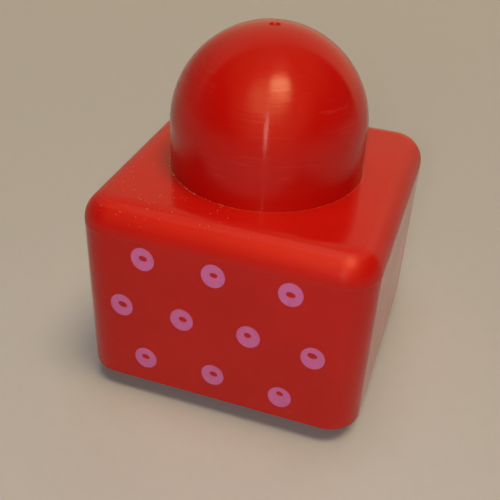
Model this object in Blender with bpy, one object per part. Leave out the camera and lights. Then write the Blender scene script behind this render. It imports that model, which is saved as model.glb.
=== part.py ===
"""A stacking brick for small children.

Four moulded pieces: a hollow shell, a domed knob that stands through the shell's
top, a socket sleeve whose spring tongues grip the knob of the brick below, and a
base plate that closes the shell and holds the others in place.

Metres, +Z up. The origin is the middle of the base, on the surface it stands on.
The printed face looks along -Y.
"""

from math import asin, cos, degrees, pi, radians, sin

import bmesh
import bpy
from mathutils import Matrix, Vector

MM = 0.001

# Driving dimensions
BODY_WIDTH = 48.0 * MM
BODY_HEIGHT = 33.3 * MM
CORNER_RADIUS = 5.7 * MM
TOP_FILLET = 4.7 * MM
SIDE_WALL = 2.4 * MM
TOP_WALL = 2.6 * MM
KNOB_RADIUS = 16.1 * MM
KNOB_SHOULDER = 7.4 * MM
KNOB_WALL = 2.2 * MM
FIT_GAP = 0.3 * MM

# Shell
BASE_CHAMFER = 0.3 * MM
REBATE_DEPTH = 2.6 * MM
REBATE_WALL = 1.2 * MM
POST_PLACE = 19.2 * MM
POST_RADIUS = 2.3 * MM
POST_BOTTOM = 5.0 * MM
POST_BORE_TOP = 14.0 * MM
SEAT_RIB_THICKNESS = 1.5 * MM
SEAT_RIB_HEIGHT = 2.8 * MM
KEY_WIDTH = 3.4 * MM

# Knob
FLANGE_REACH = 2.7 * MM
FLANGE_THICKNESS = 1.6 * MM
KEY_REACH = 1.2 * MM
GATE_RADIUS = 0.9 * MM
GATE_FLOOR_RADIUS = 0.7 * MM
GATE_DEPTH = 0.3 * MM

# Socket sleeve
SOCKET_CLEARANCE = 0.35 * MM
SLEEVE_WALL = 1.6 * MM
SLEEVE_FLANGE_THICKNESS = 1.4 * MM
ROOF_UNDERSIDE = 25.2 * MM
ROOF_THICKNESS = 1.4 * MM
ROOF_FILLET = 1.6 * MM
RIM_WALL = 1.15 * MM
TONGUE_COUNT = 8
TONGUE_WIDTH = 6.4 * MM
TONGUE_TIP = 5.0 * MM
TONGUE_ROOT = 17.5 * MM
TONGUE_SLOT = 0.9 * MM
GRIP_BEAD_RADIUS = 0.9 * MM
GRIP_BEAD_LENGTH = 5.0 * MM
GRIP_BEAD_HEIGHT = 6.3 * MM
GRIP_BITE = 0.15 * MM

# Base plate
PLATE_THICKNESS = REBATE_DEPTH - FIT_GAP
MOUTH_CLEARANCE = 0.5 * MM
MOUTH_CHAMFER = 1.0 * MM
PIN_RADIUS = 1.3 * MM
PIN_TOP = 12.0 * MM
PIN_TIP_BEVEL = 0.5 * MM

# Smoothness of the faceted forms
TURN_STEPS = 64
CORNER_STEPS = 9
FILLET_STEPS = 7
DOME_STEPS = 13
DOME_STEPS_INSIDE = 9
SMALL_TURN_STEPS = 20
SLOT_END_STEPS = 4

# Levels worked out from the above
HALF_WIDTH = BODY_WIDTH / 2
CAVITY_HALF = HALF_WIDTH - SIDE_WALL
CAVITY_TOP = BODY_HEIGHT - TOP_WALL
CAVITY_FILLET = TOP_FILLET - SIDE_WALL
REBATE_HALF = HALF_WIDTH - REBATE_WALL
DOME_CENTRE = BODY_HEIGHT + KNOB_SHOULDER
FLANGE_RADIUS = KNOB_RADIUS + FLANGE_REACH
FLANGE_TOP = CAVITY_TOP - FIT_GAP
FLANGE_BOTTOM = FLANGE_TOP - FLANGE_THICKNESS
SLEEVE_INSIDE = KNOB_RADIUS + SOCKET_CLEARANCE
SLEEVE_OUTSIDE = SLEEVE_INSIDE + SLEEVE_WALL
SLEEVE_BOTTOM = PLATE_THICKNESS + FIT_GAP
SLEEVE_TOP = FLANGE_BOTTOM - FIT_GAP
OVERLAP = 0.2 * MM
RUN_OUT = 2.0 * MM
MERGE_DISTANCE = 0.001 * MM


def clear_scene():
    for item in list(bpy.data.objects):
        bpy.data.objects.remove(item, do_unlink=True)


def plastic(name, colour, roughness):
    """A moulded plastic with one colour."""
    material = bpy.data.materials.new(name)
    material.use_nodes = True
    shader = material.node_tree.nodes["Principled BSDF"]
    shader.inputs["Base Color"].default_value = (*colour, 1.0)
    shader.inputs["Roughness"].default_value = roughness
    shader.inputs["Metallic"].default_value = 0.0
    return material


def add_object(name, bm):
    """Puts the finished mesh into the scene, shaded smooth up to its sharp edges."""
    bmesh.ops.recalc_face_normals(bm, faces=bm.faces)
    mesh = bpy.data.meshes.new(name)
    bm.to_mesh(mesh)
    bm.free()
    mesh.shade_smooth()
    mesh.set_sharp_from_angle(angle=radians(35))
    item = bpy.data.objects.new(name, mesh)
    bpy.context.scene.collection.objects.link(item)
    return item


def as_tool(item):
    """Marks an object as a cutter or a filler that isn't a piece of the brick."""
    item.hide_render = True
    item.display_type = "WIRE"
    return item


def combine(target, tool, operation):
    step = target.modifiers.new(f"{operation.lower()} {tool.name}", "BOOLEAN")
    step.operation = operation
    step.solver = "EXACT"
    step.object = as_tool(tool)


def rounded_square(half_width, radius, height):
    """Points of a square with round corners, anticlockwise seen from above."""
    middle = half_width - radius
    points = []
    for quarter in range(4):
        turn = Matrix.Rotation(quarter * pi / 2, 3, "Z")
        for step in range(CORNER_STEPS + 1):
            angle = step / CORNER_STEPS * pi / 2
            corner = Vector((middle + radius * cos(angle), middle + radius * sin(angle), height))
            points.append(turn @ corner)
    return points


def filleted_rings(half_width, radius, fillet, top):
    """Rings that roll a fillet from the vertical sides over to the top."""
    rings = []
    for step in range(FILLET_STEPS + 1):
        angle = step / FILLET_STEPS * pi / 2
        inset = fillet * (1 - cos(angle))
        height = top - fillet + fillet * sin(angle)
        rings.append(rounded_square(half_width - inset, radius - inset, height))
    return rings


def loft(name, rings):
    """Skins a stack of rings that have the same number of points, and caps both ends."""
    bm = bmesh.new()
    loops = [[bm.verts.new(point) for point in ring] for ring in rings]
    for lower, upper in zip(loops, loops[1:]):
        count = len(lower)
        for index in range(count):
            following = (index + 1) % count
            bm.faces.new((lower[index], lower[following], upper[following], upper[index]))
    bm.faces.new(reversed(loops[0]))
    bm.faces.new(loops[-1])
    return add_object(name, bm)


def turned(name, profile):
    """Spins a closed outline of (radius, height) points about the Z axis."""
    bm = bmesh.new()
    points = [bm.verts.new((radius, 0, height)) for radius, height in profile]
    edges = []
    for start, end in zip(points, points[1:] + points[:1]):
        if start.co.x > 0 or end.co.x > 0:
            edges.append(bm.edges.new((start, end)))
    bmesh.ops.spin(
        bm,
        geom=points + edges,
        cent=(0, 0, 0),
        axis=(0, 0, 1),
        angle=2 * pi,
        steps=TURN_STEPS,
        use_merge=True,
    )
    bmesh.ops.remove_doubles(bm, verts=bm.verts, dist=MERGE_DISTANCE)
    return add_object(name, bm)


def arc(radius, centre_height, start, end, steps, centre_radius=0.0):
    """Points of a profile's arc. Angles are in degrees above the horizontal."""
    points = []
    for step in range(steps + 1):
        angle = radians(start + (end - start) * step / steps)
        points.append((centre_radius + radius * cos(angle), centre_height + radius * sin(angle)))
    return points


def add_rod(bm, radius, bottom, top, place, steps):
    """Adds an upright rod to a mesh."""
    bmesh.ops.create_cone(
        bm,
        cap_ends=True,
        segments=steps,
        radius1=radius,
        radius2=radius,
        depth=top - bottom,
        matrix=Matrix.Translation((*place, (bottom + top) / 2)),
    )


def corners(distance):
    return [(sign_x * distance, sign_y * distance) for sign_x in (-1, 1) for sign_y in (-1, 1)]


def rods(name, radius, bottom, top, places, steps=SMALL_TURN_STEPS):
    bm = bmesh.new()
    for place in places:
        add_rod(bm, radius, bottom, top, place, steps)
    return add_object(name, bm)


def prism_ring(name, outline, depth_from, depth_to, turns):
    """Extrudes an outline of (across, height) points outwards, at each angle round the axis."""
    bm = bmesh.new()
    for angle in turns:
        turn = Matrix.Rotation(angle, 4, "Z")
        near = [bm.verts.new(turn @ Vector((depth_from, across, height))) for across, height in outline]
        face = bm.faces.new(near)
        grown = bmesh.ops.extrude_face_region(bm, geom=[face])["geom"]
        moved = [item for item in grown if isinstance(item, bmesh.types.BMVert)]
        outwards = turn @ Vector((depth_to - depth_from, 0, 0))
        bmesh.ops.translate(bm, verts=moved, vec=outwards)
    return add_object(name, bm)


def make_shell(material):
    """The hollow square block, open below, with its knob opening and its fixings."""
    outside = [
        rounded_square(HALF_WIDTH - BASE_CHAMFER, CORNER_RADIUS - BASE_CHAMFER, 0),
        rounded_square(HALF_WIDTH, CORNER_RADIUS, BASE_CHAMFER),
        *filleted_rings(HALF_WIDTH, CORNER_RADIUS, TOP_FILLET, BODY_HEIGHT),
    ]
    shell = loft("body_shell", outside)
    shell.data.materials.append(material)

    rebate_radius = CORNER_RADIUS - REBATE_WALL
    cavity_radius = CORNER_RADIUS - SIDE_WALL
    hollow = [
        rounded_square(REBATE_HALF, rebate_radius, -RUN_OUT),
        rounded_square(REBATE_HALF, rebate_radius, REBATE_DEPTH),
        rounded_square(CAVITY_HALF, cavity_radius, REBATE_DEPTH),
        *filleted_rings(CAVITY_HALF, cavity_radius, CAVITY_FILLET, CAVITY_TOP),
    ]
    combine(shell, loft("shell hollow", hollow), "DIFFERENCE")

    # Four posts hang in the corners, fused to them, and take the base plate's pins.
    posts = rods("shell posts", POST_RADIUS, POST_BOTTOM, CAVITY_TOP + OVERLAP, corners(POST_PLACE))
    combine(shell, posts, "UNION")
    bore = PIN_RADIUS + FIT_GAP
    bores = rods("post bores", bore, POST_BOTTOM - RUN_OUT, POST_BORE_TOP, corners(POST_PLACE))
    combine(shell, bores, "DIFFERENCE")

    # A rib under the top centres the knob's flange, and its four gaps hold the keys.
    rib_inside = FLANGE_RADIUS + FIT_GAP
    rib_outside = rib_inside + SEAT_RIB_THICKNESS
    rib_bottom = CAVITY_TOP - SEAT_RIB_HEIGHT
    rib_profile = [
        (rib_inside, rib_bottom),
        (rib_outside, rib_bottom),
        (rib_outside, CAVITY_TOP + OVERLAP),
        (rib_inside, CAVITY_TOP + OVERLAP),
    ]
    combine(shell, turned("flange seat rib", rib_profile), "UNION")
    half_gap = KEY_WIDTH / 2 + FIT_GAP
    gap_outline = [
        (-half_gap, rib_bottom - RUN_OUT),
        (half_gap, rib_bottom - RUN_OUT),
        (half_gap, CAVITY_TOP),
        (-half_gap, CAVITY_TOP),
    ]
    gap_end = rib_outside + OVERLAP
    key_gaps = prism_ring("key gaps", gap_outline, KNOB_RADIUS, gap_end, key_angles())
    combine(shell, key_gaps, "DIFFERENCE")

    opening = (KNOB_RADIUS + FIT_GAP) / cos(pi / TURN_STEPS)
    hole_top = BODY_HEIGHT + RUN_OUT
    hole = rods("knob opening", opening, CAVITY_TOP - RUN_OUT, hole_top, [(0, 0)], TURN_STEPS)
    combine(shell, hole, "DIFFERENCE")
    return shell


def key_angles():
    return [pi / 4 + quarter * pi / 2 for quarter in range(4)]


def make_knob(material):
    """The hollow dome on a short cylinder, with a keyed flange that stays under the top."""
    apex = DOME_CENTRE + KNOB_RADIUS
    gate_edge = 90 - degrees(asin(GATE_RADIUS / KNOB_RADIUS))
    inside = KNOB_RADIUS - KNOB_WALL
    profile = [
        (0, apex - GATE_DEPTH),
        (GATE_FLOOR_RADIUS, apex - GATE_DEPTH),
        *arc(KNOB_RADIUS, DOME_CENTRE, gate_edge, 0, DOME_STEPS),
        (KNOB_RADIUS, FLANGE_TOP),
        (FLANGE_RADIUS, FLANGE_TOP),
        (FLANGE_RADIUS, FLANGE_BOTTOM),
        (inside, FLANGE_BOTTOM),
        *arc(inside, DOME_CENTRE, 0, 90, DOME_STEPS_INSIDE),
    ]
    knob = turned("knob", profile)
    knob.data.materials.append(material)

    half_key = KEY_WIDTH / 2
    key_outline = [
        (-half_key, FLANGE_BOTTOM + OVERLAP),
        (half_key, FLANGE_BOTTOM + OVERLAP),
        (half_key, FLANGE_TOP - OVERLAP),
        (-half_key, FLANGE_TOP - OVERLAP),
    ]
    key_reach = FLANGE_RADIUS + KEY_REACH
    keys = prism_ring("flange keys", key_outline, KNOB_RADIUS, key_reach, key_angles())
    combine(knob, keys, "UNION")
    return knob


def make_sleeve(material):
    """The round socket with spring tongues, whose rim holds the knob's flange up."""
    flange_radius = CAVITY_HALF - FIT_GAP
    flange_top = SLEEVE_BOTTOM + SLEEVE_FLANGE_THICKNESS
    roof_top = ROOF_UNDERSIDE + ROOF_THICKNESS
    rim_inside = SLEEVE_OUTSIDE - RIM_WALL
    profile = [
        (SLEEVE_INSIDE, SLEEVE_BOTTOM),
        (flange_radius, SLEEVE_BOTTOM),
        (flange_radius, flange_top),
        (SLEEVE_OUTSIDE, flange_top),
        (SLEEVE_OUTSIDE, SLEEVE_TOP),
        (rim_inside, SLEEVE_TOP),
        (rim_inside, roof_top),
        (0, roof_top),
        (0, ROOF_UNDERSIDE),
        *arc(ROOF_FILLET, ROOF_UNDERSIDE - ROOF_FILLET, 90, 0, 4, SLEEVE_INSIDE - ROOF_FILLET),
    ]
    sleeve = turned("socket_sleeve", profile)
    sleeve.data.materials.append(material)

    # Each tongue hangs from its root, free at both sides and at its tip. The slots end round.
    inner = TONGUE_WIDTH / 2
    outer = inner + TONGUE_SLOT
    slot_middle = inner + TONGUE_SLOT / 2
    slot_outline = [
        (-outer, TONGUE_TIP - TONGUE_SLOT),
        (outer, TONGUE_TIP - TONGUE_SLOT),
        *arc(TONGUE_SLOT / 2, TONGUE_ROOT, 0, 180, SLOT_END_STEPS, slot_middle),
        (inner, TONGUE_TIP),
        (-inner, TONGUE_TIP),
        *arc(TONGUE_SLOT / 2, TONGUE_ROOT, 0, 180, SLOT_END_STEPS, -slot_middle),
    ]
    turns = [index * 2 * pi / TONGUE_COUNT for index in range(TONGUE_COUNT)]
    inside_wall = SLEEVE_INSIDE - RUN_OUT
    outside_wall = SLEEVE_OUTSIDE + RUN_OUT
    slots = prism_ring("tongue slots", slot_outline, inside_wall, outside_wall, turns)
    combine(sleeve, slots, "DIFFERENCE")

    # A bead across each tongue stands a little inside the knob's radius, so it grips.
    bead_centre = KNOB_RADIUS - GRIP_BITE + GRIP_BEAD_RADIUS
    bm = bmesh.new()
    for angle in turns:
        lying = Matrix.Rotation(pi / 2, 4, "X")
        place = Matrix.Translation((bead_centre, 0, GRIP_BEAD_HEIGHT))
        bmesh.ops.create_cone(
            bm,
            cap_ends=True,
            segments=14,
            radius1=GRIP_BEAD_RADIUS,
            radius2=GRIP_BEAD_RADIUS,
            depth=GRIP_BEAD_LENGTH,
            matrix=Matrix.Rotation(angle, 4, "Z") @ place @ lying,
        )
    combine(sleeve, add_object("grip beads", bm), "UNION")
    return sleeve


def make_base_plate(material):
    """The plate that closes the shell, with the socket's mouth and four fixing pins."""
    half = REBATE_HALF - FIT_GAP
    radius = CORNER_RADIUS - REBATE_WALL - FIT_GAP
    plate = loft(
        "base_plate",
        [rounded_square(half, radius, 0), rounded_square(half, radius, PLATE_THICKNESS)],
    )
    plate.data.materials.append(material)

    bm = bmesh.new()
    for place in corners(POST_PLACE):
        add_rod(bm, PIN_RADIUS, PLATE_THICKNESS - OVERLAP, PIN_TOP, place, SMALL_TURN_STEPS)
    tips = [edge for edge in bm.edges if all(end.co.z > POST_BOTTOM for end in edge.verts)]
    bmesh.ops.bevel(bm, geom=tips, offset=PIN_TIP_BEVEL, segments=1, affect="EDGES")
    combine(plate, add_object("plate pins", bm), "UNION")

    mouth = KNOB_RADIUS + MOUTH_CLEARANCE
    mouth_profile = [
        (0, -RUN_OUT),
        (mouth + MOUTH_CHAMFER + RUN_OUT, -RUN_OUT),
        (mouth, MOUTH_CHAMFER),
        (mouth, PLATE_THICKNESS + RUN_OUT),
        (0, PLATE_THICKNESS + RUN_OUT),
    ]
    combine(plate, turned("socket mouth", mouth_profile), "DIFFERENCE")
    return plate


def main():
    clear_scene()
    shell_red = plastic("shell red", (0.50, 0.016, 0.012), 0.28)
    knob_red = plastic("knob red", (0.52, 0.012, 0.008), 0.22)
    inner_red = plastic("inner red", (0.46, 0.014, 0.010), 0.38)
    make_shell(shell_red)
    make_knob(knob_red)
    make_sleeve(inner_red)
    make_base_plate(shell_red)


main()
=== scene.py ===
from math import cos, pi, radians, sin

import bmesh
import bpy
from mathutils import Matrix, Vector


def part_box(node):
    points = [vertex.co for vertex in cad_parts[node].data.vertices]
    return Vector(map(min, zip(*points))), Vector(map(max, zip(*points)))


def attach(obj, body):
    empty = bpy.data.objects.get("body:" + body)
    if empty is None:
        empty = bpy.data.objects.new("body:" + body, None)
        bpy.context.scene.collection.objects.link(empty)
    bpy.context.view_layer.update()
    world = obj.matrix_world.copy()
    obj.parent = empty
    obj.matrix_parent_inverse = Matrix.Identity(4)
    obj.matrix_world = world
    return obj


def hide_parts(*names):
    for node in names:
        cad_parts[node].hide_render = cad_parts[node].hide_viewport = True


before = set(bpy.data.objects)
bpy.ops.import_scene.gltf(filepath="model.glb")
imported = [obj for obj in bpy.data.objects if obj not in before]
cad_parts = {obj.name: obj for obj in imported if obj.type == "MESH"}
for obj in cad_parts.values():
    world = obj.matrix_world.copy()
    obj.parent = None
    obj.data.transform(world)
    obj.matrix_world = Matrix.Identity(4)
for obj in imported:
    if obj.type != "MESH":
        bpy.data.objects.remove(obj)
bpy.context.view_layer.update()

mm = 0.001
tiny = 0.002 * mm  # points closer than this count as one place
merge = 0.0005 * mm  # points closer than this become one point
overlap = 0.2 * mm  # how far a form reaches into the one that it joins
runOut = 2 * mm  # how far a cutting form passes the surface that it cuts
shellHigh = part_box("body_shell")[1]
halfWidth = shellHigh.x
bodyTop = shellHigh.z
diagonals = [radians(45 + 90 * quarter) for quarter in range(4)]


# Working with objects and with edit mode

def deselectAll():
    bpy.ops.object.select_all(action="DESELECT")


def makeActive(thing):
    deselectAll()
    thing.select_set(True)
    bpy.context.view_layer.objects.active = thing


def startEdit(thing, mode="EDGE"):
    makeActive(thing)
    bpy.ops.object.mode_set(mode="EDIT")
    bpy.ops.mesh.select_mode(type=mode)
    bpy.ops.mesh.select_all(action="DESELECT")


def endEdit():
    bpy.ops.object.mode_set(mode="OBJECT")


def pickEdges(thing, wanted):
    bpy.ops.mesh.select_all(action="DESELECT")
    mesh = bmesh.from_edit_mesh(thing.data)
    for edge in mesh.edges:
        if wanted(edge.verts[0].co, edge.verts[1].co):
            edge.select_set(True)
    bmesh.update_edit_mesh(thing.data)


def pickRim(thing, height):
    pickEdges(thing, lambda a, b: abs(a.z - height) < tiny and abs(b.z - height) < tiny)


def pickFaces(thing, wanted):
    bpy.ops.mesh.select_all(action="DESELECT")
    mesh = bmesh.from_edit_mesh(thing.data)
    for face in mesh.faces:
        if wanted(face.calc_center_median(), face.normal):
            face.select_set(True)
    bmesh.update_edit_mesh(thing.data)


def roundPicked(width, segments):
    bpy.ops.mesh.bevel(offset=width, offset_type="OFFSET", segments=segments, clamp_overlap=False)


def applyPlace(thing):
    makeActive(thing)
    bpy.ops.object.transform_apply(location=True, rotation=True, scale=True)


def applyModifier(thing, kind, **settings):
    makeActive(thing)
    step = thing.modifiers.new(kind.lower(), kind)
    for name, value in settings.items():
        setattr(step, name, value)
    bpy.ops.object.modifier_apply(modifier=step.name)


# Cuts one form out of another, or unites them. The second form goes.
def combine(thing, tool, operation="DIFFERENCE"):
    applyModifier(thing, "BOOLEAN", operation=operation, solver="EXACT", object=tool)
    bpy.data.objects.remove(tool, do_unlink=True)


def join(parts):
    makeActive(parts[0])
    for part in parts:
        part.select_set(True)
    bpy.ops.object.join()
    return bpy.context.object


# Copies of a finished form, turned about the brick's axis. The form itself goes.
def turnedCopies(thing, angles):
    copies = []
    for angle in angles:
        copy = thing.copy()
        copy.data = thing.data.copy()
        bpy.context.collection.objects.link(copy)
        copy.rotation_euler.z = angle
        applyPlace(copy)
        copies.append(copy)
    bpy.data.objects.remove(thing, do_unlink=True)
    return join(copies)


# Starting forms, each shaped further by the piece that uses it

def cuboid(middle, size):
    bpy.ops.mesh.primitive_cube_add(size=1, location=middle, scale=size)
    block = bpy.context.object
    applyPlace(block)
    return block


def roundedBlock(half, bottom, top, radius, segments):
    block = cuboid((0, 0, (bottom + top) / 2), (2 * half, 2 * half, top - bottom))
    startEdit(block)
    pickEdges(block, lambda a, b: abs(a.z - b.z) > tiny)
    roundPicked(radius, segments)
    endEdit()
    return block


def roundRim(thing, height, width, segments):
    startEdit(thing)
    pickRim(thing, height)
    roundPicked(width, segments)
    endEdit()


def upright(radius, bottom, top, place=(0, 0), steps=128, topRadius=None):
    bpy.ops.mesh.primitive_cone_add(
        vertices=steps,
        radius1=radius,
        radius2=radius if topRadius is None else topRadius,
        depth=top - bottom,
        location=(*place, (bottom + top) / 2),
    )
    rod = bpy.context.object
    applyPlace(rod)
    return rod


# Four upright rods, one at each of the shell's corner posts.
def cornerRods(radius, bottom, top, steps):
    reach = shellSettings["postPlace"]
    places = [(x * reach, y * reach) for x in (-1, 1) for y in (-1, 1)]
    return join([upright(radius, bottom, top, place, steps) for place in places])


# Smooth shading up to the sharp edges, with flat faces kept flat, and the piece's place.
def finishPiece(thing, name, material, nodeName=None, sharpAngle=38):
    applyPlace(thing)
    startEdit(thing, "VERT")
    bpy.ops.mesh.select_all(action="SELECT")
    bpy.ops.mesh.remove_doubles(threshold=merge)
    bpy.ops.mesh.select_all(action="DESELECT")
    endEdit()
    makeActive(thing)
    bpy.ops.object.shade_smooth_by_angle(angle=radians(sharpAngle))
    applyModifier(thing, "WEIGHTED_NORMAL", keep_sharp=True, weight=60)
    thing.name = name
    thing.data.name = name
    thing.data.materials.clear()
    thing.data.materials.append(material)
    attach(thing, "root")
    if nodeName:
        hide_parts(nodeName)
    print(f"made {name}: {len(thing.data.polygons)} faces")
    return thing


# Building a material. Scales are in waves or cells per metre.

class Recipe:
    def __init__(self, name):
        self.material = bpy.data.materials.new(name)
        self.material.use_nodes = True
        self.tree = self.material.node_tree
        self.shader = self.tree.nodes["Principled BSDF"]
        self.place = self.add("ShaderNodeTexCoord").outputs["Object"]

    def add(self, kind, **settings):
        node = self.tree.nodes.new(kind)
        for name, value in settings.items():
            setattr(node, name, value)
        return node

    def feed(self, socket, value):
        if isinstance(value, bpy.types.NodeSocket):
            self.tree.links.new(value, socket)
        else:
            socket.default_value = value

    def maths(self, operation, first, second):
        node = self.add("ShaderNodeMath", operation=operation)
        self.feed(node.inputs[0], first)
        self.feed(node.inputs[1], second)
        return node.outputs["Value"]

    def chain(self, operation, values):
        result = values[0]
        for value in values[1:]:
            result = self.maths(operation, result, value)
        return result

    def times(self, *values):
        return self.chain("MULTIPLY", values)

    def plus(self, *values):
        return self.chain("ADD", values)

    def most(self, *values):
        return self.chain("MAXIMUM", values)

    # A value brought from one range to another, held at the ends.
    def ramp(self, value, start, end, low=0.0, high=1.0):
        node = self.add("ShaderNodeMapRange", interpolation_type="SMOOTHSTEP")
        for socket, amount in zip(node.inputs, (value, start, end, low, high)):
            self.feed(socket, amount)
        return node.outputs["Result"]

    # One between two limits and falling to nothing outside them.
    def band(self, value, low, high, soft):
        rising = self.ramp(value, low - soft, low)
        falling = self.ramp(value, high, high + soft, 1.0, 0.0)
        return self.times(rising, falling)

    def vector(self, x, y, z):
        node = self.add("ShaderNodeCombineXYZ")
        for socket, value in zip(node.inputs, (x, y, z)):
            self.feed(socket, value)
        return node.outputs["Vector"]

    def split(self, value):
        node = self.add("ShaderNodeSeparateXYZ")
        self.feed(node.inputs[0], value)
        return node.outputs

    def fromAxis(self, x, y):
        return self.maths("POWER", self.plus(self.times(x, x), self.times(y, y)), 0.5)

    # A place squeezed sideways, which draws a pattern out level with the ground.
    def drawnOut(self, x, y, height, squeeze):
        return self.vector(self.times(x, squeeze), self.times(y, squeeze), height)

    # Fractal noise from 0 to 1.
    def noise(self, scale, detail=2.0, roughness=0.5, place=None):
        node = self.add("ShaderNodeTexNoise")
        self.feed(node.inputs["Vector"], self.place if place is None else place)
        self.feed(node.inputs["Scale"], scale)
        self.feed(node.inputs["Detail"], detail)
        self.feed(node.inputs["Roughness"], roughness)
        return node.outputs["Fac"]

    def clouds(self, scale):
        return self.ramp(self.noise(scale, 3.0), 0.35, 0.70)

    # Rare round specks, each inside a cell of a random pattern. Size is in cells.
    def specks(self, scale, size, share):
        cells = self.add("ShaderNodeTexVoronoi", feature="F1")
        self.feed(cells.inputs["Vector"], self.place)
        self.feed(cells.inputs["Scale"], scale)
        near = self.ramp(cells.outputs["Distance"], size, size / 2)
        kept = self.maths("LESS_THAN", self.split(cells.outputs["Color"])[0], share)
        return self.times(near, kept)

    # Short straight scratches in two directions, from noise drawn out lengthwise.
    def scratches(self, rarity):
        marks = scratchSettings
        found = []
        for turn, tilt in marks["ways"]:
            turned = self.add("ShaderNodeMapping")
            self.feed(turned.inputs["Vector"], self.place)
            turned.inputs["Rotation"].default_value = (0, radians(tilt), radians(turn))
            turned.inputs["Scale"].default_value = (marks["squeeze"], 1, 1)
            fine = self.noise(marks["scale"], 1.0, place=turned.outputs["Vector"])
            patches = self.ramp(self.noise(marks["patchScale"], 1.0), 0.52, 0.60)
            found.append(self.times(self.ramp(fine, rarity, rarity + 0.05), patches))
        return self.most(*found)

    # Inputs 6 and 7 and output 2 of a Mix node are its colours.
    def mix(self, amount, first, second):
        node = self.add("ShaderNodeMix", data_type="RGBA")
        self.feed(node.inputs[0], amount)
        self.feed(node.inputs[6], first)
        self.feed(node.inputs[7], second)
        return node.outputs[2]

    # Marks of one colour over another. The amount is how far they cover it.
    def tint(self, colour, marks, amount, markColour):
        return self.mix(self.times(marks, amount), colour, markColour)

    # Adds relief. Depth is the height in metres of the value's step from 0 to 1.
    def relief(self, height, depth, under=None):
        node = self.add("ShaderNodeBump")
        node.inputs["Strength"].default_value = 1.0
        self.feed(node.inputs["Distance"], depth)
        self.feed(node.inputs["Height"], height)
        if under is not None:
            self.feed(node.inputs["Normal"], under)
        return node.outputs["Normal"]

    def finish(self, colour, rough, normal, ior):
        self.feed(self.shader.inputs["Base Color"], colour)
        self.feed(self.shader.inputs["Roughness"], rough)
        self.feed(self.shader.inputs["Normal"], normal)
        self.shader.inputs["IOR"].default_value = ior
        return self.material


redPaint = {
    "shellColour": (0.53, 0.0060, 0.0030, 1),
    "knobColour": (0.52, 0.0035, 0.0018, 1),
    "sleeveColour": (0.46, 0.0080, 0.0050, 1),
    "plateColour": (0.50, 0.0080, 0.0050, 1),
    "deepColour": (0.50, 0.0045, 0.0025, 1),
    "dustColour": (0.72, 0.30, 0.17, 1),
    "gritColour": (0.12, 0.02, 0.015, 1),
    "scuffAndSheenColour": (0.66, 0.10, 0.07, 1),
    "ior": 1.38,
    "knobIor": 1.37,
}

scratchSettings = {
    "ways": [(7.4, 5.7), (83.1, -4.6)],  # turn and tilt in degrees
    "squeeze": 0.04,
    "scale": 4200,
    "patchScale": 210,
}

# A tint is how far a mark covers the colour, and a haze is roughness.
shellFinish = {
    "cloudScale": 70,
    "hazeScale": 160,
    "haze": (0.12, 0.17),
    "edgeHaze": 0.20,
    "scratchHaze": 0.15,
    "dustHaze": 0.8,
    "edgeTop": 0.40 * mm,  # the rubbed edge ends this far under the flat top
    "edgeSoft": 0.35 * mm,
    "rubScale": 1500,
    "rubSqueeze": 0.03,
    "rubDepth": 0.030 * mm,
    # The shoulder is where a painted highlight lies in light streaks along the rounded edge.
    "shoulder": (3.9 * mm, 4.5 * mm),  # heights over the foot of the rounded edge
    "footLine": (-0.10 * mm, -0.02 * mm),  # the same for the faint line at the foot
    "footSoft": 0.05 * mm,
    "footDepth": 0.002 * mm,
    # The line at the foot is a faint ridge, tinted lighter as a painted highlight.
    "footSheenTint": 0.09,
    "scratchRarity": 0.76,
    "scratchShare": (1.0, 0.1),  # on the sides and on the top
    "scratchTint": 0.16,
    # The sheen streaks are a painted highlight on the upper part of the rounded edge.
    "sheenShare": (0.35, 1.0),
    "sheenTint": 0.16,
    "dustTint": 0.6,
    "gritTint": 0.7,
    "dustReach": (4 * mm, 36 * mm),  # from thin to thick towards the front left corner
    "patchScale": 260,
    "patchShare": 0.9,
    "fineDust": {"scale": 1400, "size": 0.16},
    "coarseDust": {"scale": 650, "size": 0.10, "share": 0.02},
    "grit": {"scale": 520, "size": 0.08, "share": 0.04},
    "crease": (-0.10 * mm, 0.28 * mm),  # from the knob's side outwards
    "creaseSoft": 0.12 * mm,
    "creaseDepth": (0.3 * mm, 0.1 * mm),  # under the flat top, where its dust begins
    "creaseFilm": 0.03,
    "clumpScale": 1900,
    "clumpReach": (4 * mm, -14 * mm),  # from the right to the left of the knob
    "clumpShare": (0.12, 0.80),
    "waveScale": 85,
    "waveDepth": 0.008 * mm,
}
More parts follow.
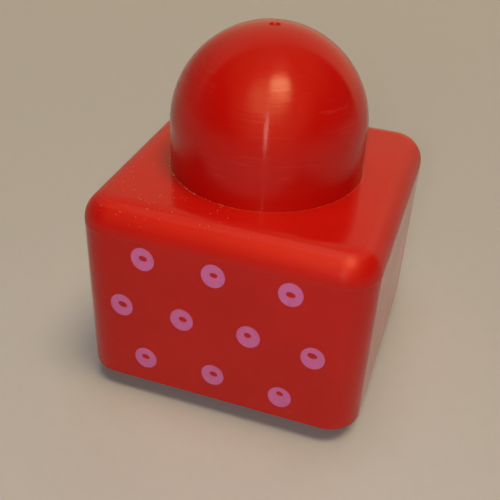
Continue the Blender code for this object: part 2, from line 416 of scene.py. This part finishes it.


# The shell's gloss plastic: faintly wavy, with dust on what faces up and in the crease round
# the knob, and with its rounded top edge rubbed lengthwise. Light streaks along the upper part
# of that edge, and the faint line at its foot, are painted highlights.
def makeShellRed():
    look = shellFinish
    recipe = Recipe("glossy shell red")
    x, y, z = recipe.split(recipe.place)
    facing = recipe.add("ShaderNodeNewGeometry").outputs["Normal"]
    facingUp = recipe.ramp(recipe.split(facing)[2], 0.2, 0.8)
    foot = bodyTop - shellSettings["topFillet"]
    onEdge = recipe.band(z, foot, bodyTop - look["edgeTop"], look["edgeSoft"])

    # More dust lies towards the front left corner.
    towardsCorner = recipe.plus(recipe.times(x, -1.0), recipe.times(y, -1.0))
    cornerShare = recipe.ramp(towardsCorner, *look["dustReach"])
    patches = recipe.ramp(recipe.noise(look["patchScale"]), 0.38, 0.60)
    settled = recipe.times(patches, cornerShare, look["patchShare"])
    fineDust = recipe.specks(share=settled, **look["fineDust"])
    dust = recipe.times(recipe.most(fineDust, recipe.specks(**look["coarseDust"])), facingUp)
    grit = recipe.times(recipe.specks(**look["grit"]), facingUp)

    # A broken line of dust lies in the crease round the knob, thickest on the left.
    low, high = (knobSettings["radius"] + step for step in look["crease"])
    inCrease = recipe.band(recipe.fromAxis(x, y), low, high, look["creaseSoft"])
    deep, shallow = (bodyTop - step for step in look["creaseDepth"])
    inCrease = recipe.times(inCrease, recipe.ramp(z, deep, shallow))
    clumps = recipe.ramp(recipe.noise(look["clumpScale"], 2.0, 0.6), 0.46, 0.60)
    clumps = recipe.times(clumps, recipe.ramp(x, *look["clumpReach"], *look["clumpShare"]))
    creaseDust = recipe.times(recipe.plus(clumps, look["creaseFilm"]), inCrease)
    dust = recipe.most(dust, creaseDust)

    alongEdge = recipe.drawnOut(x, y, z, look["rubSqueeze"])
    rubbed = recipe.times(recipe.noise(look["rubScale"], 3.0, 0.75, place=alongEdge), onEdge)
    low, high = (foot + step for step in look["shoulder"])
    # Painted highlight: light streaks tinted along the upper part of the rounded edge.
    paintedSheen = recipe.ramp(rubbed, 0.38, 0.62, *look["sheenShare"])
    paintedSheen = recipe.times(paintedSheen, recipe.band(z, low, high, look["edgeSoft"]))
    # A faint ridge at the foot of the rounded edge, which the colour also paints lighter as a highlight.
    low, high = (foot + step for step in look["footLine"])
    footLine = recipe.band(z, low, high, look["footSoft"])
    onSides = recipe.ramp(facingUp, 0.0, 1.0, *look["scratchShare"])
    scratches = recipe.times(recipe.scratches(look["scratchRarity"]), onSides)

    colour = recipe.mix(recipe.clouds(look["cloudScale"]), redPaint["shellColour"], redPaint["deepColour"])
    # Painted highlight along the faint ridge at the foot of the rounded edge.
    colour = recipe.tint(colour, footLine, look["footSheenTint"], redPaint["scuffAndSheenColour"])
    colour = recipe.tint(colour, scratches, look["scratchTint"], redPaint["scuffAndSheenColour"])
    # Painted highlight in streaks along the rounded edge.
    colour = recipe.tint(colour, paintedSheen, look["sheenTint"], redPaint["scuffAndSheenColour"])
    colour = recipe.tint(colour, dust, look["dustTint"], redPaint["dustColour"])
    colour = recipe.tint(colour, grit, look["gritTint"], redPaint["gritColour"])

    rough = recipe.ramp(recipe.noise(look["hazeScale"], 4.0, 0.6), 0.30, 0.75, *look["haze"])
    worn = recipe.plus(recipe.times(onEdge, look["edgeHaze"]), recipe.times(scratches, look["scratchHaze"]))
    rough = recipe.most(recipe.plus(rough, worn), recipe.times(dust, look["dustHaze"]))

    waves = recipe.relief(recipe.noise(look["waveScale"], 1.0), look["waveDepth"])
    brushed = recipe.relief(rubbed, look["rubDepth"], waves)
    normal = recipe.relief(footLine, look["footDepth"], brushed)
    return recipe.finish(colour, rough, normal, redPaint["ior"])


knobFinish = {
    "cloudScale": 60,
    "haze": 0.10,
    "rubHaze": (0.03, 0.12),
    "rubHazeScale": 2300,
    "rubSqueeze": 0.04,
    "grooveScale": 1900,
    "grooveDepth": 0.040 * mm,
    "crest": (9.5 * mm, 14 * mm),  # heights over the dome's centre, where the rubbing fades
    "rubShare": (1.0, 0.15),
    "lineScale": 2000,
    "lineSqueeze": 0.10,
    "lineReach": (-3 * mm, 11 * mm),  # heights over the dome's centre
    "lineSoft": 3 * mm,
    "linePatches": 170,
    "lineTint": 0.14,
    "levelLines": [(0.2 * mm, 0.05 * mm), (4.6 * mm, 0.06 * mm)],  # height and half width
    "levelSoft": 0.06 * mm,
    "levelPatches": 240,
    "dust": {"scale": 900, "size": 0.06, "share": 0.04},
    "dustTint": 0.4,
    "dustHaze": 0.4,
    "waveScale": 90,
    "waveDepth": 0.006 * mm,
}


# The knob's plastic is rubbed round and round by other bricks' sockets. The fine scratches draw
# each glint out up and down.
def makeKnobRed():
    look = knobFinish
    recipe = Recipe("rubbed knob red")
    x, y, z = recipe.split(recipe.place)
    height = recipe.maths("SUBTRACT", z, knobSettings["domeCentre"])

    # The way up the surface, so that a scratch keeps its width on the side and on the dome.
    latitude = recipe.maths("ARCTAN2", height, recipe.fromAxis(x, y))
    onDome = recipe.times(recipe.most(latitude, 0.0), knobSettings["radius"])
    wayUp = recipe.plus(onDome, recipe.maths("MINIMUM", height, 0.0))
    roundWays = recipe.drawnOut(x, y, wayUp, look["rubSqueeze"])
    longWays = recipe.drawnOut(x, y, wayUp, look["lineSqueeze"])

    # A few longer scratches show by themselves, most of them low on the dome.
    lines = recipe.ramp(recipe.noise(look["lineScale"], 3.0, 0.65, place=longWays), 0.54, 0.70)
    low, high = look["lineReach"]
    lines = recipe.times(lines, recipe.band(height, low, high, look["lineSoft"]))
    lines = recipe.times(lines, recipe.ramp(recipe.noise(look["linePatches"], 1.0), 0.42, 0.60))
    for middle, half in look["levelLines"]:
        level = recipe.band(height, middle - half, middle + half, look["levelSoft"])
        level = recipe.times(level, recipe.ramp(recipe.noise(look["levelPatches"]), 0.45, 0.60))
        lines = recipe.most(lines, level)

    dust = recipe.specks(**look["dust"])
    colour = recipe.mix(recipe.clouds(look["cloudScale"]), redPaint["knobColour"], redPaint["deepColour"])
    colour = recipe.tint(colour, lines, look["lineTint"], redPaint["scuffAndSheenColour"])
    colour = recipe.tint(colour, dust, look["dustTint"], redPaint["dustColour"])

    # The crest is hardly rubbed.
    worn = recipe.ramp(height, *look["crest"], *look["rubShare"])
    rough = recipe.noise(look["rubHazeScale"], 3.0, 0.7, place=roundWays)
    rough = recipe.times(recipe.ramp(rough, 0.49, 0.62, *look["rubHaze"]), worn)
    rough = recipe.plus(rough, look["haze"], recipe.times(dust, look["dustHaze"]))

    waves = recipe.relief(recipe.noise(look["waveScale"], 1.0), look["waveDepth"])
    grooves = recipe.times(recipe.noise(look["grooveScale"], 3.0, 0.8, place=roundWays), worn)
    normal = recipe.relief(grooves, look["grooveDepth"], waves)
    around = recipe.add("ShaderNodeTangent", direction_type="RADIAL", axis="Z")
    recipe.feed(recipe.shader.inputs["Tangent"], around.outputs["Tangent"])
    recipe.shader.inputs["Anisotropic"].default_value = 1.0
    recipe.shader.inputs["Anisotropic Rotation"].default_value = 0.25  # a quarter turn, upright
    return recipe.finish(colour, rough, normal, redPaint["knobIor"])


innerFinish = {
    "cloudScale": 80,
    "hazeScale": 240,
    "sleeveHaze": (0.28, 0.42),
    "plateHaze": (0.18, 0.30),
    "scuffRarity": 0.70,
    "scuffTint": 0.4,
    "scuffDepth": -0.004 * mm,
    "dust": {"scale": 600, "size": 0.10, "share": 0.08},
    "dustTint": 0.5,
    "grainScale": 2400,
    "grainDepth": 0.002 * mm,
}


# The inner pieces' plastic, less polished and scuffed where bricks slide in.
def makeInnerRed(name, paint, haze):
    look = innerFinish
    recipe = Recipe(name)
    scuffs = recipe.scratches(look["scuffRarity"])
    dust = recipe.specks(**look["dust"])
    colour = recipe.mix(recipe.clouds(look["cloudScale"]), paint, redPaint["deepColour"])
    colour = recipe.tint(colour, scuffs, look["scuffTint"], redPaint["scuffAndSheenColour"])
    colour = recipe.tint(colour, dust, look["dustTint"], redPaint["dustColour"])
    rough = recipe.ramp(recipe.noise(look["hazeScale"], 4.0, 0.6), 0.30, 0.70, *haze)
    grain = recipe.relief(recipe.noise(look["grainScale"], 3.0), look["grainDepth"])
    normal = recipe.relief(scuffs, look["scuffDepth"], grain)
    return recipe.finish(colour, rough, normal, redPaint["ior"])


inkFinish = {
    "colour": (0.65, 0.160, 0.45, 1),
    "thinColour": (0.60, 0.130, 0.36, 1),
    "pinholeColour": (0.55, 0.06, 0.12, 1),
    "pinholes": {"scale": 2200, "size": 0.16, "share": 0.05},
    "pinholeTint": 0.5,
    "thinScale": 900,
    "haze": (0.30, 0.42),
    "grainScale": 1800,
    "grainDepth": 0.0015 * mm,
}


# Pad-printed ink: flat pink, a little thin in places, with pinholes.
def makeRingInk():
    look = inkFinish
    recipe = Recipe("pink ring ink")
    thin = recipe.ramp(recipe.noise(look["thinScale"], 4.0, 0.65), 0.35, 0.75)
    colour = recipe.mix(thin, look["colour"], look["thinColour"])
    pinholes = recipe.specks(**look["pinholes"])
    colour = recipe.tint(colour, pinholes, look["pinholeTint"], look["pinholeColour"])
    rough = recipe.ramp(thin, 0.0, 1.0, *look["haze"])
    normal = recipe.relief(recipe.noise(look["grainScale"], 3.0), look["grainDepth"])
    return recipe.finish(colour, rough, normal, redPaint["ior"])


shellSettings = {
    "cornerRadius": 5.7 * mm,
    "cornerSegments": 16,
    "topFillet": 4.7 * mm,
    "filletSegments": 14,
    "baseRound": 0.12 * mm,
    "smallSegments": 3,
    "sideWall": 2.4 * mm,
    "topWall": 2.6 * mm,
    "cavitySegments": 10,
    "cavityRimSegments": 8,
    "rebateDepth": 2.6 * mm,
    "rebateWall": 1.2 * mm,
    "rebateSegments": 12,
    "postPlace": 19.2 * mm,
    "postRadius": 2.3 * mm,
    "postBottom": 5.0 * mm,
    "postSteps": 40,
    "boreRadius": 1.6 * mm,
    "boreTop": 14.0 * mm,
    "boreSteps": 32,
    "ribInside": 19.1 * mm,
    "ribOutside": 20.6 * mm,
    "ribHeight": 2.8 * mm,
    "keyGap": 4.0 * mm,
    "holeGap": 0.01 * mm,  # the real knob touches its hole, where the solids keep a gap
    "holeRound": 0.04 * mm,
}


def makeShell(material):
    size = shellSettings
    radius = size["cornerRadius"]
    half = halfWidth - ringSettings["proud"]  # the print on it stays inside the brick's width
    block = roundedBlock(half, 0, bodyTop, radius, size["cornerSegments"])
    roundRim(block, bodyTop, size["topFillet"], size["filletSegments"])
    roundRim(block, 0, size["baseRound"], size["smallSegments"])

    # The hollow inside, and the wider rebate at its mouth for the base plate.
    roof = bodyTop - size["topWall"]
    inside = halfWidth - size["sideWall"]
    insideRadius = radius - size["sideWall"]
    cavity = roundedBlock(inside, size["rebateDepth"] - overlap, roof, insideRadius, size["cavitySegments"])
    roundRim(cavity, roof, size["topFillet"] - size["sideWall"], size["cavityRimSegments"])
    combine(block, cavity)
    inside = halfWidth - size["rebateWall"]
    insideRadius = radius - size["rebateWall"]
    combine(block, roundedBlock(inside, -runOut, size["rebateDepth"], insideRadius, size["rebateSegments"]))

    # Corner posts with bores for the plate's pins.
    posts = cornerRods(size["postRadius"], size["postBottom"], roof + overlap, size["postSteps"])
    combine(block, posts, "UNION")
    bores = cornerRods(size["boreRadius"], size["postBottom"] - runOut, size["boreTop"], size["boreSteps"])
    combine(block, bores)

    # A rib under the top keeps the knob's flange in place, with a gap for each of its keys.
    ribBottom = roof - size["ribHeight"]
    rib = upright(size["ribOutside"], ribBottom, roof + overlap)
    combine(rib, upright(size["ribInside"], ribBottom - runOut, roof + runOut))
    gapSize = (size["keyGap"], size["keyGap"], 4 * size["ribHeight"])
    gap = cuboid((size["ribOutside"], 0, ribBottom), gapSize)
    combine(rib, turnedCopies(gap, diagonals))
    combine(block, rib, "UNION")

    hole = knobSettings["radius"] + size["holeGap"]
    combine(block, upright(hole, roof - runOut, bodyTop + runOut, steps=knobSettings["segments"]))
    near = hole + tiny
    startEdit(block)
    pickEdges(block, lambda a, b: min(a.z, b.z) > bodyTop - tiny and max(a.xy.length, b.xy.length) < near)
    roundPicked(size["holeRound"], size["smallSegments"])
    endEdit()
    return finishPiece(block, "shell_block", material, "body_shell")


knobSettings = {
    "radius": 16.1 * mm,
    "domeCentre": bodyTop + 7.4 * mm,
    "segments": 144,
    "rings": 96,
    "sideSteps": 4,
    "wall": 2.2 * mm,
    "flangeReach": 2.7 * mm,
    "flangeTop": bodyTop - 2.9 * mm,
    "flangeThickness": 1.6 * mm,
    "keyWidth": 3.4 * mm,
    "keyReach": 1.2 * mm,
    "keyThickness": 1.2 * mm,
    "gateRadius": 0.9 * mm,
    "gateFloor": 0.7 * mm,
    "gateDepth": 0.3 * mm,
    "gateSteps": 48,
}


def makeKnob(material):
    size = knobSettings
    centre = size["domeCentre"]
    flangeBottom = size["flangeTop"] - size["flangeThickness"]
    bpy.ops.mesh.primitive_uv_sphere_add(
        segments=size["segments"], ring_count=size["rings"], radius=size["radius"], location=(0, 0, centre)
    )
    knob = bpy.context.object
    applyPlace(knob)

    # The lower half goes, and the rim is drawn down to the flange.
    startEdit(knob, "FACE")
    pickFaces(knob, lambda middle, normal: middle.z < centre)
    bpy.ops.mesh.delete(type="FACE")
    bpy.ops.mesh.select_mode(type="EDGE")
    drop = (centre - flangeBottom) / size["sideSteps"]
    for level in range(size["sideSteps"]):
        pickRim(knob, centre - level * drop)
        bpy.ops.mesh.extrude_edges_move(TRANSFORM_OT_translate={"value": (0, 0, -drop)})
    endEdit()
    applyModifier(knob, "SOLIDIFY", thickness=size["wall"], offset=-1, use_even_offset=True)

    # A flange with four keys, under the shell's top.
    flangeRadius = size["radius"] + size["flangeReach"]
    flange = upright(flangeRadius, flangeBottom, size["flangeTop"], steps=size["segments"])
    keyLength = size["flangeReach"] + size["keyReach"]
    keyMiddle = (size["radius"] + keyLength / 2, 0, flangeBottom + size["flangeThickness"] / 2)
    key = cuboid(keyMiddle, (keyLength, size["keyWidth"], size["keyThickness"]))
    combine(flange, turnedCopies(key, diagonals), "UNION")
    bore = size["radius"] - size["wall"] / 2
    combine(flange, upright(bore, flangeBottom - runOut, size["flangeTop"] + runOut))
    combine(knob, flange, "UNION")

    # The gate mark on the crest.
    apex = centre + size["radius"]
    slope = (size["gateRadius"] - size["gateFloor"]) / size["gateDepth"]
    mouth = size["gateRadius"] + slope * runOut
    floor = apex - size["gateDepth"]
    gate = upright(size["gateFloor"], floor, apex + runOut, steps=size["gateSteps"], topRadius=mouth)
    combine(knob, gate)
    return finishPiece(knob, "knob_dome", material, "knob", sharpAngle=32)


sleeveSettings = {
    "inside": 16.45 * mm,
    "outside": 18.05 * mm,
    "flangeRadius": 21.3 * mm,
    "bottom": 2.6 * mm,
    "flangeTop": 4.0 * mm,
    "roofUnderside": 25.2 * mm,
    "roofTop": 26.6 * mm,
    "roofFillet": 1.6 * mm,
    "roofSegments": 8,
    "rimInside": 16.9 * mm,
    "top": 28.5 * mm,
    "tongues": 8,
    "tongueWidth": 6.4 * mm,
    "tongueTip": 5.0 * mm,
    "tongueRoot": 17.5 * mm,
    "slot": 0.9 * mm,
    "slotSegments": 8,
    "beadRadius": 0.9 * mm,
    "beadLength": 5.0 * mm,
    "beadHeight": 6.3 * mm,
    "beadInside": 15.95 * mm,
    "beadSteps": 28,
    "beadRound": 0.35 * mm,
    "beadSegments": 3,
}


def makeSleeve(material):
    size = sleeveSettings
    sleeve = upright(size["outside"], size["bottom"], size["top"])
    combine(sleeve, upright(size["flangeRadius"], size["bottom"], size["flangeTop"]), "UNION")
    combine(sleeve, upright(size["rimInside"], size["roofTop"], size["top"] + runOut))
    hollow = upright(size["inside"], size["bottom"] - runOut, size["roofUnderside"])
    roundRim(hollow, size["roofUnderside"], size["roofFillet"], size["roofSegments"])
    combine(sleeve, hollow)

    turns = [index * 2 * pi / size["tongues"] for index in range(size["tongues"])]
    combine(sleeve, turnedCopies(tongueSlot(), turns))
    combine(sleeve, turnedCopies(gripBead(), turns), "UNION")
    return finishPiece(sleeve, "sleeve_socket", material, "socket_sleeve", sharpAngle=30)


# The U-shaped slot round a tongue, from two round-ended legs and the gap at its tip.
def tongueSlot():
    size = sleeveSettings
    wall = (size["inside"] + size["outside"]) / 2
    depth = 4 * (size["outside"] - size["inside"])
    legPlace = (size["tongueWidth"] + size["slot"]) / 2
    legTop = size["tongueRoot"] + size["slot"] / 2
    legBottom = size["tongueTip"] - size["slot"]
    slot = cuboid(
        (wall, 0, size["tongueTip"] - size["slot"] / 2),
        (depth, size["tongueWidth"] + 2 * size["slot"], size["slot"]),
    )
    for side in (-1, 1):
        leg = cuboid(
            (wall, side * legPlace, (legTop + legBottom) / 2),
            (depth, size["slot"], legTop - legBottom),
        )
        startEdit(leg)
        pickEdges(leg, lambda a, b: min(a.z, b.z) > legTop - tiny and abs(a.x - b.x) > tiny)
        roundPicked(size["slot"] / 2, size["slotSegments"])
        endEdit()
        combine(slot, leg, "UNION")
    return slot


# The bead across a tongue's tip, round-ended, which grips the knob of the brick below.
def gripBead():
    size = sleeveSettings
    bpy.ops.mesh.primitive_cylinder_add(
        vertices=size["beadSteps"],
        radius=size["beadRadius"],
        depth=size["beadLength"],
        location=(size["beadInside"] + size["beadRadius"], 0, size["beadHeight"]),
        rotation=(pi / 2, 0, 0),
    )
    bead = bpy.context.object
    applyPlace(bead)
    end = size["beadLength"] / 2
    startEdit(bead)
    pickEdges(bead, lambda a, b: abs(abs(a.y) - end) < tiny and abs(a.y - b.y) < tiny)
    roundPicked(size["beadRound"], size["beadSegments"])
    endEdit()
    return bead


plateSettings = {
    "half": 22.65 * mm,  # its weld seam is narrower than the solid's gap
    "radius": 4.35 * mm,
    "cornerSegments": 12,
    "thickness": 2.3 * mm,
    "edgeRound": 0.25 * mm,
    "edgeSegments": 3,
    "mouth": 16.6 * mm,
    "leadIn": 1.0 * mm,
    "pinRadius": 1.3 * mm,
    "pinTop": 12.0 * mm,
    "pinSteps": 36,
    "pinTip": 0.5 * mm,
    "tipSegments": 2,
}


def makeBasePlate(material):
    size = plateSettings
    plate = roundedBlock(size["half"], 0, size["thickness"], size["radius"], size["cornerSegments"])
    roundRim(plate, 0, size["edgeRound"], size["edgeSegments"])
    combine(plate, upright(size["mouth"], -runOut, size["thickness"] + runOut))
    wide = size["mouth"] + size["leadIn"] + runOut
    combine(plate, upright(wide, -runOut, size["leadIn"], topRadius=size["mouth"]))
    pins = cornerRods(size["pinRadius"], size["thickness"] - overlap, size["pinTop"], size["pinSteps"])
    roundRim(pins, size["pinTop"], size["pinTip"], size["tipSegments"])
    combine(plate, pins, "UNION")
    return finishPiece(plate, "plate_base", material, "base_plate", sharpAngle=30)


# Each ring is given by its place on the printed face, how far its hole lies off its middle,
# and the hole's width, height and tilt, in millimetres and degrees.
ringSettings = {
    "thickness": 0.03 * mm,
    "proud": 0.012 * mm,
    "points": 96,
    "width": 3.87 * mm,
    "height": 4.25 * mm,
    "rings": [
        ((-12.0, 25.6), (0.1, 0.2), (1.4, 1.0, -8)),
        ((-0.4, 25.6), (0.1, 0.2), (1.3, 0.9, -6)),
        ((11.8, 25.6), (0.0, 0.0), (1.5, 1.0, -6)),
        ((-16.1, 15.5), (0.2, 0.2), (1.6, 1.1, -14)),
        ((-5.6, 15.5), (0.2, 0.2), (1.4, 1.0, -8)),
        ((5.6, 15.5), (-0.1, 0.3), (1.2, 1.0, 0)),
        ((16.1, 14.5), (-0.1, 0.5), (1.6, 1.1, -10)),
        ((-12.2, 5.2), (0.0, 0.3), (1.4, 1.0, -12)),
        ((-0.2, 5.4), (0.2, 0.3), (1.4, 1.0, -12)),
        ((11.4, 4.5), (0.0, 0.8), (1.2, 0.9, -8)),
    ],
}


# Each ring is an oval outline whose copy shrinks to the hole's outline.
def makeRings(material):
    size = ringSettings
    rings = []
    for (x, z), (offX, offZ), (holeWidth, holeHeight, tilt) in size["rings"]:
        middle = Vector((x * mm, -halfWidth, z * mm))
        hole = middle + Vector((offX * mm, 0, offZ * mm))
        bpy.ops.mesh.primitive_circle_add(
            vertices=size["points"], radius=0.5, location=middle, rotation=(pi / 2, 0, 0)
        )
        ring = bpy.context.object
        ring.scale = (size["width"], size["height"], 1)
        applyPlace(ring)
        shrink = (holeWidth * mm / size["width"], 1, holeHeight * mm / size["height"])
        startEdit(ring)
        bpy.ops.mesh.select_all(action="SELECT")
        bpy.ops.mesh.extrude_edges_move(TRANSFORM_OT_translate={"value": hole - middle})
        bpy.ops.transform.resize(value=shrink, center_override=hole)
        bpy.ops.transform.rotate(value=radians(tilt), orient_axis="Y", center_override=hole)
        bpy.ops.mesh.select_all(action="SELECT")
        bpy.ops.mesh.normals_make_consistent(inside=False)
        endEdit()
        rings.append(ring)
    ink = join(rings)
    if ink.data.polygons[0].normal.y > 0:
        ink.data.flip_normals()
    applyModifier(ink, "SOLIDIFY", thickness=size["thickness"], offset=-1)
    return finishPiece(ink, "ring_print", material)


# Floor and surroundings

floorSettings = {
    "size": 3.0,
    "points": 96,
    "height": -3.3 * mm,  # a little below the brick, so that its edge stands out against a shadow
    "colour": (0.455, 0.465, 0.50, 1),
    "mottle": (0.445, 0.455, 0.49, 1),
    "far": (0.43, 0.425, 0.465, 1),
    "fade": (0.18, 0.55),  # metres from the brick over which the far colour comes in
    "mottleScale": 380,
    "grainScale": 1600,
    "grainDepth": 0.01 * mm,
    "haze": (0.60, 0.75),
    "ior": 1.5,
}


def makeFloor():
    look = floorSettings
    bpy.ops.mesh.primitive_circle_add(
        vertices=look["points"], radius=look["size"], fill_type="NGON", location=(0, 0, look["height"])
    )
    floor = bpy.context.object
    floor.name = "floor"
    recipe = Recipe("pale floor")
    x, y = recipe.split(recipe.place)[:2]
    mottle = recipe.ramp(recipe.noise(look["mottleScale"], 5.0, 0.65), 0.35, 0.70)
    colour = recipe.mix(mottle, look["colour"], look["mottle"])
    colour = recipe.mix(recipe.ramp(recipe.fromAxis(x, y), *look["fade"]), colour, look["far"])
    grain = recipe.noise(look["grainScale"], 3.0, 0.6)
    rough = recipe.ramp(grain, 0.30, 0.70, *look["haze"])
    normal = recipe.relief(grain, look["grainDepth"])
    floor.data.materials.append(recipe.finish(colour, rough, normal, look["ior"]))


# The surroundings are a few soft round glows in a dim room, and give reflections alone. Each has
# the azimuth (0 is in front, 90 to the right) and elevation of its middle, its radius and the
# softness of its edge, in degrees.
worldSettings = {
    "backdrop": (0.43, 0.37, 0.29, 1),  # what the camera sees past the floor
    "room": (0.05, 0.042, 0.030, 1),
    "glows": [
        {"azimuth": 50, "elevation": 82, "radius": 42, "soft": 20, "colour": (0.50, 0.34, 0.12, 1)},
        {"azimuth": 18, "elevation": 40, "radius": 40, "soft": 14, "colour": (0.85, 0.56, 0.22, 1)},
        {"azimuth": 12, "elevation": 49, "radius": 17, "soft": 11, "colour": (3.4, 2.6, 1.05, 1)},
        {"azimuth": 37, "elevation": 63, "radius": 10, "soft": 4, "colour": (12.5, 9.6, 4.1, 1)},
        {"azimuth": -152, "elevation": -10, "radius": 73, "soft": 3, "colour": (0.62, 0.50, 0.30, 1)},
        {"azimuth": -105, "elevation": -10, "radius": 38, "soft": 22, "colour": (0.24, 0.19, 0.14, 1)},
    ],
}


def makeWorld():
    world = bpy.data.worlds.new("studio")
    bpy.context.scene.world = world
    world.use_nodes = True
    nodes, links = world.node_tree.nodes, world.node_tree.links

    def feed(socket, value):
        if isinstance(value, bpy.types.NodeSocket):
            links.new(value, socket)
        else:
            socket.default_value = value

    def maths(operation, first, second):
        node = nodes.new("ShaderNodeMath")
        node.operation = operation
        feed(node.inputs[0], first)
        feed(node.inputs[1], second)
        return node.outputs["Value"]

    def rise(value, start, end):
        node = nodes.new("ShaderNodeMapRange")
        node.interpolation_type = "SMOOTHSTEP"
        feed(node.inputs["Value"], value)
        feed(node.inputs["From Min"], start)
        feed(node.inputs["From Max"], end)
        return node.outputs["Result"]

    def mix(amount, first, second):
        node = nodes.new("ShaderNodeMix")
        node.data_type = "RGBA"
        feed(node.inputs[0], amount)
        feed(node.inputs[6], first)
        feed(node.inputs[7], second)
        return node.outputs[2]

    ways = nodes.new("ShaderNodeSeparateXYZ")
    links.new(nodes.new("ShaderNodeTexCoord").outputs["Generated"], ways.inputs[0])
    x, y, z = ways.outputs
    colour = worldSettings["room"]
    for glow in worldSettings["glows"]:
        azimuth, elevation = radians(glow["azimuth"]), radians(glow["elevation"])
        level = maths("ADD", maths("MULTIPLY", x, sin(azimuth)), maths("MULTIPLY", y, -cos(azimuth)))
        level = maths("MULTIPLY", level, cos(elevation))
        facing = maths("ADD", level, maths("MULTIPLY", z, sin(elevation)))
        near = cos(radians(glow["radius"] - glow["soft"]))
        far = cos(radians(glow["radius"] + glow["soft"]))
        colour = mix(rise(facing, far, near), colour, glow["colour"])
    seen = nodes.new("ShaderNodeLightPath").outputs["Is Camera Ray"]
    colour = mix(seen, colour, worldSettings["backdrop"])
    links.new(colour, nodes["Background"].inputs["Color"])
    world.cycles_visibility.diffuse = False


cameraSettings = {
    "place": Vector((32.113, -111.079, 95.025)) * mm,
    "yaw": 17.157,
    "down": 34.698,
    "roll": 2.826,
    "lens": 55.566,
    "sensor": 36.0,
    "nearest": 5 * mm,
    "farthest": 20.0,
}


def makeCamera():
    view = cameraSettings
    turn = Matrix.Rotation(radians(view["yaw"]), 4, "Z")
    tilt = Matrix.Rotation(radians(90 - view["down"]), 4, "X")
    roll = Matrix.Rotation(radians(view["roll"]), 4, "Z")
    bpy.ops.object.camera_add()
    camera = bpy.context.object
    camera.matrix_world = Matrix.Translation(view["place"]) @ turn @ tilt @ roll
    camera.data.sensor_width = view["sensor"]
    camera.data.lens = view["lens"]
    camera.data.clip_start = view["nearest"]
    camera.data.clip_end = view["farthest"]
    bpy.context.scene.camera = camera
    return camera


# The sky lamps are wide suns, each given by the way towards it and its width in degrees. They and
# the front light give no glints, because the glows do. The glint light is a thin upright strip
# beside the camera that draws the long line on the knob.
lampSettings = {
    "skyLamps": [
        {"name": "key light", "way": (0.28, -0.08, 0.95), "spread": 21, "power": 1.32,
         "colour": (1.0, 0.76, 0.42), "glints": False},
        {"name": "fill light", "way": (0, 0, 1), "spread": 34, "power": 0.98,
         "colour": (1.0, 0.88, 0.74), "glints": False},
        {"name": "low light", "way": (0.1, -0.95, 0.30), "spread": 30, "power": 0.34,
         "colour": (1.0, 0.88, 0.74), "glints": False},
        {"name": "back light", "way": (0.1, 0.8, 0.5), "spread": 50, "power": 0.45,
         "colour": (1.0, 0.88, 0.74), "glints": False},
    ],
    "smallLamps": [
        {"name": "glint light", "width": 1.2 * mm, "height": 70 * mm, "drop": -30 * mm,
         "power": 0.010, "colour": (1.0, 0.90, 0.80), "glints": True},
        {"name": "front light", "width": 8 * mm, "height": 8 * mm, "drop": 0,
         "power": 0.037, "colour": (1.0, 0.93, 0.88), "glints": False},
    ],
    "aside": -7.5 * mm,
}


def addLamp(kind, settings, place, target):
    bpy.ops.object.light_add(type=kind, location=place)
    lamp = bpy.context.object
    lamp.name = settings["name"]
    lamp.rotation_euler = (target - place).to_track_quat("-Z", "Y").to_euler()
    lamp.data.energy = settings["power"]
    lamp.data.color = settings["colour"]
    lamp.visible_camera = False
    lamp.visible_glossy = settings["glints"]
    return lamp


def makeLamps(camera):
    for sky in lampSettings["skyLamps"]:
        lamp = addLamp("SUN", sky, Vector(sky["way"]).normalized(), Vector())
        lamp.data.angle = radians(sky["spread"])
    for small in lampSettings["smallLamps"]:
        place = camera.matrix_world @ Vector((lampSettings["aside"], small["drop"], 0))
        lamp = addLamp("AREA", small, place, Vector((0, 0, bodyTop)))
        lamp.data.shape = "RECTANGLE"
        lamp.data.size = small["width"]
        lamp.data.size_y = small["height"]


camera = makeCamera()
print("camera set")
makeShell(makeShellRed())
makeKnob(makeKnobRed())
makeSleeve(makeInnerRed("satin sleeve red", redPaint["sleeveColour"], innerFinish["sleeveHaze"]))
makeBasePlate(makeInnerRed("plate red", redPaint["plateColour"], innerFinish["plateHaze"]))
makeRings(makeRingInk())
makeFloor()
makeWorld()
makeLamps(camera)
print("stage and lamps set")

scene = bpy.context.scene
scene.view_settings.view_transform = "Standard"
